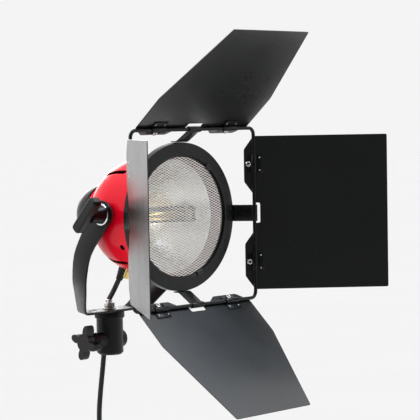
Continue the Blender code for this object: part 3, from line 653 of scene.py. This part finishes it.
def door_ring():
    """A flat ring with a rolled outer edge and a flange behind it, and a rivet between every two straps."""
    outer, inner, sheet, flange = RING_R, 0.0805, 0.0015, 0.010
    edge, roll = 0.0003, 0.0012
    lip = arc((outer - roll, -roll), roll, 90, 0, 6)
    profile = [
        (inner + edge, 0),
        *lip,
        (outer, -flange + edge),
        (outer - edge, -flange),
        (outer - sheet, -flange),
        (outer - sheet, -sheet),
        (inner, -sheet),
        (inner, -edge),
    ]
    ring = piece("door_ring_skin", turned(profile, 160, closed=True), BLACK_PAINT, "door_ring",
                 location=LAMP_CENTRE, rotation=FACING_FRONT)
    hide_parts("door_ring")
    rivet_circle = 0.0905
    for i, angle in enumerate((45, 135, 225, 315)):
        a = math.radians(angle)
        spot = LAMP_CENTRE + Vector((rivet_circle * math.cos(a), 0, rivet_circle * math.sin(a)))
        rivet(f"ring_rivet_{i + 1}", "door_ring", spot, FACING_FRONT, 0.0013, 0.0005, DARK_STEEL)


def front_bezel():
    """The flat rim round the mouth, and behind it a sleeve that turns in onto the housing."""
    profile = [
        (0.0785, -0.0020),
        (0.0787, -0.0018),
        (0.0943, -0.0018),
        (0.0945, -0.0020),
        (0.0945, -0.0033),
        (0.0870, -0.0033),
        (0.0870, -0.0138),
        (0.0868, -0.0140),
        (0.0783, -0.0140),
        (0.0783, -0.0125),
        (0.0853, -0.0125),
        (0.0853, -0.0033),
        (0.0785, -0.0033),
    ]
    bezel = piece("front_bezel_skin", turned(profile, 144, closed=True), BLACK_PAINT, "head",
                  location=LAMP_CENTRE, rotation=FACING_FRONT)
    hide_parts("front_bezel")


def mesh_guard():
    """Expanded aluminium: a lattice of diamonds, each strand a thin bar."""
    wide, tall, reach, strand = 0.0080, 0.0034, 0.0838, 0.00112
    guard_back = 0.0041
    shape = bmesh.new()
    corners = {}

    def corner(column, row):
        if (column, row) not in corners:
            corners[column, row] = shape.verts.new((column * wide / 2, row * tall / 2, 0))
        return corners[column, row]

    columns, rows = int(reach / wide * 2) + 1, int(reach / tall * 2) + 1
    for column in range(-columns, columns + 1):
        for row in range(-rows, rows + 1):
            if (column + row) % 2:
                continue
            around_cell = [(column - 1, row), (column, row - 1), (column + 1, row), (column, row + 1)]
            if all(math.hypot(c * wide / 2, r * tall / 2) < reach for c, r in around_cell):
                shape.faces.new([corner(c, r) for c, r in around_cell])
    guard = piece("mesh_guard_lattice", shape, MESH_ALUMINIUM, "head", ride=False,
                  location=behind(guard_back), rotation=FACING_FRONT)
    strands = guard.modifiers.new("strands", "WIREFRAME")
    strands.thickness = strand
    strands.use_even_offset = False
    strands.use_boundary = True
    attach(guard, "head")
    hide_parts("mesh_guard")


def reflector():
    """Hammered bowl with a slot on each side of the middle."""
    rim_r, rim, apex, sheet = 0.0750, 0.021, 0.072, 0.0009
    slot_from, slot_to, slot_half = 0.008, 0.063, 0.0115
    dents_per_metre, dent_depth = 240, 0.00022
    across, steps = 70, 200
    shape = bmesh.new()
    layers = []
    for depth in (0.0, sheet):
        rings = [[shape.verts.new((0, 0, -(apex + depth)))]]
        for i in range(1, across + 1):
            radius = rim_r * i / across
            height = -(apex + depth - (apex - rim) * (i / across) ** 2)
            ring = []
            for k in range(steps):
                a = math.tau * k / steps
                spot = Vector((radius * math.cos(a), radius * math.sin(a), height))
                cell = noise.voronoi(spot * dents_per_metre)[0][0]
                spot.z += dent_depth * (cell - 0.4)
                ring.append(shape.verts.new(spot))
            rings.append(ring)
        layers.append(rings)

    def in_slot(vert):
        return slot_from < abs(vert.co.x) < slot_to and abs(vert.co.y) < slot_half

    for rings in layers:
        for first, second in zip(rings, rings[1:]):
            for k in range(steps):
                j = (k + 1) % steps
                corners = [first[k % len(first)], first[j % len(first)], second[j], second[k]]
                loop = list(dict.fromkeys(corners))
                if sum(in_slot(vert) for vert in loop) < len(loop):
                    shape.faces.new(loop)
    for k in range(steps):
        j = (k + 1) % steps
        shape.faces.new((layers[0][-1][k], layers[0][-1][j], layers[1][-1][j], layers[1][-1][k]))
    bowl = piece("reflector_bowl", shape, PEBBLED, "head", sharp=60, location=LAMP_CENTRE,
                 rotation=FACING_FRONT)
    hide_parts("reflector")


def halogen_lamp():
    """Quartz tube with a filament in it, a flat pinch at each end and a ceramic cap."""
    centre = middle("halogen_lamp")
    tube_r, half = 0.0053, 0.0270
    end = [(0, half + 0.003), (0.0025, half + 0.0028), (0.0045, half + 0.0015), (tube_r, half - 0.001)]
    other_end = [(radius, -height) for radius, height in end[::-1]]
    tube = piece("lamp_tube", turned(end + other_end, 40), QUARTZ, "lamp_carriage", sharp=50, location=centre,
                 rotation=ALONG_X)
    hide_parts("halogen_lamp")
    turns, per_turn, coil_r, coil_half, wire_r = 22, 12, 0.0013, 0.022, 0.00022
    helix = []
    for i in range(turns * per_turn + 1):
        a = math.tau * i / per_turn
        along = -coil_half + 2 * coil_half * i / (turns * per_turn)
        helix.append(Vector((coil_r * math.cos(a), coil_r * math.sin(a), along)))
    filament = piece("lamp_filament", swept(helix, wire_r, 6), TUNGSTEN, "lamp_carriage", sharp=80,
                     location=centre, rotation=ALONG_X)
    for side, sign in (("left", -1), ("right", 1)):
        pinch = softened([(-0.0042, 0.0285), (0.0042, 0.0285), (0.0036, 0.0350), (-0.0036, 0.0350)], 0.0006)
        half_thick = 0.0011
        flat = slab([(x, sign * y) for x, y in pinch], -half_thick, half_thick)
        made = piece(f"lamp_pinch_{side}", flat, QUARTZ, "lamp_carriage", bevel=0.0005, location=centre,
                     rotation=(0, 0, -math.pi / 2))
        root, tip, cap_r = 0.0345, 0.0390, 0.0036
        cap = [(0, root), (0.0033, root), (cap_r, 0.0349), (cap_r, 0.0383), (0.0030, tip), (0, tip)]
        made = piece(f"lamp_cap_{side}", turned(cap, 32), CERAMIC, "lamp_carriage", location=centre,
                     rotation=ALONG_X if sign > 0 else AGAINST_X)


def focus_knob():
    """Smooth dome with a rolled rim."""
    radius, knob_back = 0.041, 0.1455
    rim = [(0, 0), (radius - 0.0012, 0), (radius - 0.0003, 0.0004), (radius, 0.0014)]
    dome = arc((0, 0), radius, 3, 90, 28)[:-1]
    knob = piece("focus_knob_dome", turned([*rim, *dome, (0, radius)], 96), BLACK_PLASTIC, "focus_drive",
                 location=behind(knob_back), rotation=FACING_BACK)
    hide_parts("focus_knob")


# ---------------------------------------------------------------- tilt lock, clamp knob
def tilt_knob():
    """T handle: a rounded bar across a tapering hub."""
    half_long, half_wide, half_thick, out = 0.028, 0.0072, 0.007, 0.1105
    corners = [(x * half_long, y * half_wide) for x, y in ((-1, -1), (1, -1), (1, 1), (-1, 1))]
    leaning = Matrix.Rotation(math.radians(-48), 4, "X")
    stand_up = Matrix(((0, 0, 1, 0), (1, 0, 0, 0), (0, 1, 0, 0), (0, 0, 0, 1)))
    home = Matrix.Translation((-out, 0, 0)) @ leaning @ stand_up
    shape = slab(softened(corners, 0.0062, 8), -half_thick, half_thick, matrix=home)
    handle = piece("tilt_knob_bar", shape, BLACK_PLASTIC, "tilt_lock", bevel=0.0026, segments=4,
                   location=PIVOT)
    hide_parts("tilt_knob")
    bore, root, tip = 0.0044, 0.0879, 0.1060
    hub = [
        (bore, root),
        (0.0121, root),
        (0.0125, 0.0883),
        (0.0116, 0.0925),
        (0.0106, 0.1010),
        (0.0104, tip),
        (bore, tip),
    ]
    made = piece("tilt_knob_hub", turned(hub, 64, closed=True), BLACK_PLASTIC, "tilt_lock", location=PIVOT,
                 rotation=AGAINST_X)


def clamp_knob():
    """Four-lobed star, its lobes a little flat at the ends."""
    core_r, lobe, lobes, half_thick, steps = 0.0125, 0.0120, 4, 0.00575, 144
    rim = []
    for i in range(steps):
        angle = math.tau * i / steps
        reach = core_r + lobe * max(0.0, math.cos(lobes * angle)) ** 0.7
        rim.append((reach * math.cos(angle), reach * math.sin(angle)))
    turn = (Matrix.Rotation(math.radians(16), 3, "X") @ Matrix.Rotation(-math.pi / 2, 3, "Y")).to_euler()
    centre = middle("clamp_knob")
    shape = slab(rim, -half_thick, half_thick)
    star = piece("clamp_knob_star", shape, BLACK_PLASTIC, "clamp_screw", bevel=0.0022, segments=4,
                 location=centre, rotation=turn)
    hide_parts("clamp_knob")


def pivot_trim():
    """The bright washer under the T handle, with eased edges."""
    low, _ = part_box("pivot_washer")
    spot = Vector((low[0], PIVOT.y, PIVOT.z))
    bore, flat_r, rim_r, near, far, eased = 0.0043, 0.0138, 0.0145, 0.0001, 0.0015, 0.0004
    side = [(flat_r, near), (rim_r, near + eased), (rim_r, far - eased), (flat_r, far)]
    shape = turned([(bore, near), *side, (bore, far)], 64, closed=True)
    made = piece("pivot_washer_skin", shape, CHROME, "base", location=spot, rotation=ALONG_X)
    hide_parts("pivot_washer")


# ---------------------------------------------------------------- barn doors
FRAME_HALF = 0.1143  # rod centre line, from the lamp axis
FRAME_AHEAD = 0.0231  # rod centre line, ahead of the door ring
FRAME_CORNER_R = 0.009
ROD_R = 0.0024
PANEL_SHEET = 0.0011
CLAMP_SHEET = 0.001
CLAMP_PLACE = 0.066  # middle of a rod clamp, from the middle of its panel
HINGE_HALF = 0.1035  # a panel's half width along the rod
# each door's name, its angle round the lamp axis, and how far it stands open from straight ahead
LEAVES = (("right", 0, 46.4), ("top", 90, 40.1), ("left", 180, 36.6), ("bottom", 270, 42.7))


def door_frame():
    """A square of round rod with bent corners."""
    inset = FRAME_HALF - FRAME_CORNER_R
    points = []
    for i, (x, z) in enumerate(((1, 1), (-1, 1), (-1, -1), (1, -1))):
        points += arc((x * inset, z * inset), FRAME_CORNER_R, 90 * i, 90 * i + 90, 12)
    rod = piece("door_frame_rod", swept([(x, 0, z) for x, z in points], ROD_R, 20, closed=True), BLACK_PAINT,
                "door_ring", location=behind(-FRAME_AHEAD))
    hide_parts("door_frame")


def panel_outline(side):
    """A notch in the middle of the hinge edge, a tab on each side of it, and a square or tapered far edge."""
    notch_half, notch_deep, tab_deep = 0.0135, 0.008, 0.013
    notch = [(notch_half, notch_deep), (notch_half, 0.0)]
    tab = [(0.0240, 0.0), (0.0420, -tab_deep), (0.0855, -tab_deep), (HINGE_HALF, 0.0)]
    far = [(HINGE_HALF, 0.057), (0.0693, 0.1837)] if side in ("top", "bottom") else [(HINGE_HALF, 0.1810)]
    half = [*notch, *tab, *far]
    return [(-x, y) for x, y in half[::-1]] + half


def leaf_frame(angle, open_angle):
    """The rod's place and a turn: local X along the rod, local Y out along the panel, local Z to the beam."""
    a, opened = math.radians(angle), math.radians(open_angle)
    outward = Vector((math.cos(a), 0, math.sin(a)))
    along_panel = outward * math.sin(opened) + Vector((0, -math.cos(opened), 0))
    along_rod = Vector((math.sin(a), 0, -math.cos(a)))
    beam_side = along_rod.cross(along_panel)
    if beam_side.dot(outward) > 0:
        along_rod, beam_side = -along_rod, -beam_side
    turn = Matrix((along_rod, along_panel, beam_side)).transposed().to_4x4()
    return Matrix.Translation(behind(-FRAME_AHEAD) + outward * FRAME_HALF) @ turn


def door_leaf(side, angle, open_angle):
    """A sheet panel, with two rivets and an eyelet at each rod clamp and the rivets' heads on its back."""
    body = f"leaf_{side}"
    home = leaf_frame(angle, open_angle)
    beam_face = -(ROD_R + GAP)
    back_face = beam_face - PANEL_SHEET
    clamp_top = beam_face + GAP + CLAMP_SHEET
    outline = softened(panel_outline(side), 0.0022, 4)
    shape = slab(outline, back_face, beam_face, matrix=home)
    panel = piece(f"{body}_panel", shape, BLACK_PANEL, body, bevel=0.00025)
    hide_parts(body)
    rivet_half, rivet_up, eyelet_down, bore = 0.0085, 0.0078, 0.0070, 0.0016
    spacer = [(bore, -0.0004), (0.0035, -0.0004), (0.0035, 0.0016), (bore, 0.0016)]
    rolled = [(0.0034, -0.0002), (0.0036, 0.0002), (0.0031, 0.0008), (0.0021, 0.0008)]
    ring = [(bore, -0.0002), *rolled, (bore, 0.0004)]
    for mark, sign in (("a", -1), ("b", 1)):
        for i, across in enumerate((-rivet_half, rivet_half)):
            spot = home @ Matrix.Translation((sign * CLAMP_PLACE + across, rivet_up, clamp_top))
            rivet(f"{body}_rivet_{mark}{i + 1}", body, spot.to_translation(), spot.to_euler())
            back = home @ Matrix.Translation((sign * CLAMP_PLACE + across, rivet_up, back_face))
            flip = back @ Matrix.Rotation(math.pi, 4, "X")
            rivet(f"{body}_rivet_back_{mark}{i + 1}", body, flip.to_translation(), flip.to_euler())
        seat = home @ Matrix.Translation((sign * CLAMP_PLACE, -eyelet_down, clamp_top))
        made = piece(f"{body}_spacer_{mark}", turned(spacer, 28, closed=True), BLACK_PAINT, body,
                     bevel=0.0002, location=seat.to_translation(), rotation=seat.to_euler())
        on_spacer = seat @ Matrix.Translation((0, 0, 0.0017))
        made = piece(f"{body}_eyelet_{mark}", turned(ring, 28, closed=True), CHROME, body, sharp=60,
                     location=on_spacer.to_translation(), rotation=on_spacer.to_euler())


def strap_rivets():
    """Two rivets side by side where each strap meets the door ring."""
    rivet_out, rivet_half = 0.0920, 0.006
    for side, angle, _ in LEAVES:
        a = math.radians(angle)
        outward = Vector((math.cos(a), 0, math.sin(a)))
        along = Vector((-math.sin(a), 0, math.cos(a)))
        for i, across in enumerate((-rivet_half, rivet_half)):
            spot = LAMP_CENTRE + outward * rivet_out + along * across
            rivet(f"strap_rivet_{side}_{i + 1}", "door_ring", spot, FACING_FRONT, 0.0013, 0.0006, DARK_STEEL)


# ---------------------------------------------------------------- carried-over CAD nodes
def finish_cad_nodes():
    """Each remaining CAD node gets its slot's finish, welded corners and a small bevel on its edges."""
    slots = {entry["node"]: entry["material_slot"] for entry in frame["record"]["subparts"]}
    widths = {"yoke": 0.0006, "socket_body": 0.0010, "plug": 0.0008, "cord_switch": 0.0006}
    for name, thing in frame["nodes"].items():
        thing.data.materials.clear()
        dull = name.startswith("ring_clip")
        thing.data.materials.append(DARK_STEEL if dull else CAD_FINISHES[slots[name]])
        weld = thing.modifiers.new("weld", "WELD")
        weld.merge_threshold = 1e-6
        add_bevel(thing, widths.get(name, 0.0003), 2, 42)
        smooth = thing.modifiers.new("smooth", "EDGE_SPLIT")
        smooth.split_angle = math.radians(38)
        for polygon in thing.data.polygons:
            polygon.use_smooth = True


# ---------------------------------------------------------------- studio
FLOOR_START = 1.2  # toward the camera, from under the lamp
FLOOR_HALF_WIDE = 14
FLOOR_LONG = 30
WHITE = (1, 1, 1)
WARM = (1, 0.99, 0.97)
SKY_BLUE = (0.70, 0.82, 1.0)


def make_world():
    """Pale and brighter overhead, with a dark patch behind the camera that the black panels reflect."""
    world = bpy.data.worlds.new("studio")
    bpy.context.scene.world = world
    world.use_nodes = True
    tree = world.node_tree
    background = tree.nodes["Background"]
    direction = tree.nodes.new("ShaderNodeTexCoord").outputs["Generated"]

    turn, dip = math.radians(-CAMERA_TURN), math.radians(CAMERA_DIP)
    facing = tree.nodes.new("ShaderNodeVectorMath")
    facing.operation = "DOT_PRODUCT"
    facing.inputs[1].default_value = (
        math.sin(turn) * math.cos(dip), math.cos(turn) * math.cos(dip), -math.sin(dip),
    )
    shift = tree.nodes.new("ShaderNodeMapRange")
    shift.inputs["From Min"].default_value = -1.0
    shift.inputs["From Max"].default_value = 1.0
    lit = tree.nodes.new("ShaderNodeValToRGB")
    dark, pale = lit.color_ramp.elements
    dark.position, dark.color = 0.04, (0.15, 0.15, 0.15, 1)
    pale.position, pale.color = 0.40, (0.905, 0.905, 0.905, 1)
    tree.links.new(direction, facing.inputs[0])
    tree.links.new(facing.outputs["Value"], shift.inputs["Value"])
    tree.links.new(shift.outputs["Result"], lit.inputs["Fac"])
    tree.links.new(lit.outputs["Color"], background.inputs["Color"])

    height = tree.nodes.new("ShaderNodeSeparateXYZ")
    sky = tree.nodes.new("ShaderNodeMapRange")
    sky.inputs["From Min"].default_value = 0.25
    sky.inputs["From Max"].default_value = 0.8
    sky.inputs["To Min"].default_value = 1.0
    sky.inputs["To Max"].default_value = 1.5
    tree.links.new(direction, height.inputs[0])
    tree.links.new(height.outputs["Z"], sky.inputs["Value"])
    tree.links.new(sky.outputs["Result"], background.inputs["Strength"])


def make_floor():
    """A pale slab that runs away from the camera."""
    top = CAD_BOX[0].z - 0.004
    along_view = Matrix.Rotation(math.radians(CAMERA_TURN), 4, "Z") @ Matrix.Translation((0, -FLOOR_START, 0))
    side = FLOOR_HALF_WIDE
    outline = [(-side, 0), (side, 0), (side, FLOOR_LONG), (-side, FLOOR_LONG)]
    paper = surface("floor_paper", (0.873, 0.873, 0.873), 0.9, tone=0.01, tone_scale=2, rough_change=0.03,
                    grains=[("noise", 300, 0.00005)], Specular_IOR_Level=0.1)
    floor = piece("floor", slab(outline, top - 0.01, top, matrix=along_view), paper, None, ride=False)
    floor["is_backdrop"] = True


def make_lights():
    """Soft lights on the lamp alone, so that they leave no pools on the floor."""
    lit_pieces = bpy.data.collections.new("lit_pieces")
    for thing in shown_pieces():
        lit_pieces.objects.link(thing)

    def only(start):
        chosen = bpy.data.collections.new(start)
        for thing in lit_pieces.objects:
            if thing.name.startswith(start):
                chosen.objects.link(thing)
        return chosen

    area_light("key", (-1.9, 0.5, 1.3), (0, -0.1, 0.2), 0.8, 12, WHITE, lit_pieces)
    area_light("mesh_fill", (0.2, -2.6, 0.1), (0, -0.1, 0.2), 1.3, 42, WARM, only("mesh_guard"))
    area_light("bowl_fill", (0.6, -2.4, 0.3), (0, -0.1, 0.2), 1.0, 26, WARM, only("reflector"))
    area_light("top", (0.9, -0.9, 2.0), (0, -0.2, 0.1), 1.0, 24, SKY_BLUE, lit_pieces)
    area_light("rim", (1.2, 2.0, 0.9), (0, -0.05, 0.2), 1.0, 12, WHITE, lit_pieces)


def area_light(name, location, target, size, power, colour, lit_pieces):
    """A square light that shines on these pieces only."""
    data = bpy.data.lights.new(name, "AREA")
    data.shape = "SQUARE"
    data.size = size
    data.energy = power
    data.color = colour
    light = bpy.data.objects.new(name, data)
    bpy.context.scene.collection.objects.link(light)
    light.location = location
    light.light_linking.receiver_collection = lit_pieces
    light.rotation_euler = (Vector(target) - Vector(location)).to_track_quat("-Z", "Y").to_euler()


# ---------------------------------------------------------------- build
make_camera()
make_cords()
lamp_housing()
door_ring()
front_bezel()
mesh_guard()
reflector()
halogen_lamp()
focus_knob()
tilt_knob()
clamp_knob()
pivot_trim()
door_frame()
for leaf in LEAVES:
    door_leaf(*leaf)
strap_rivets()
finish_cad_nodes()
make_world()
make_floor()
make_lights()
bpy.context.scene.view_settings.view_transform = "Standard"
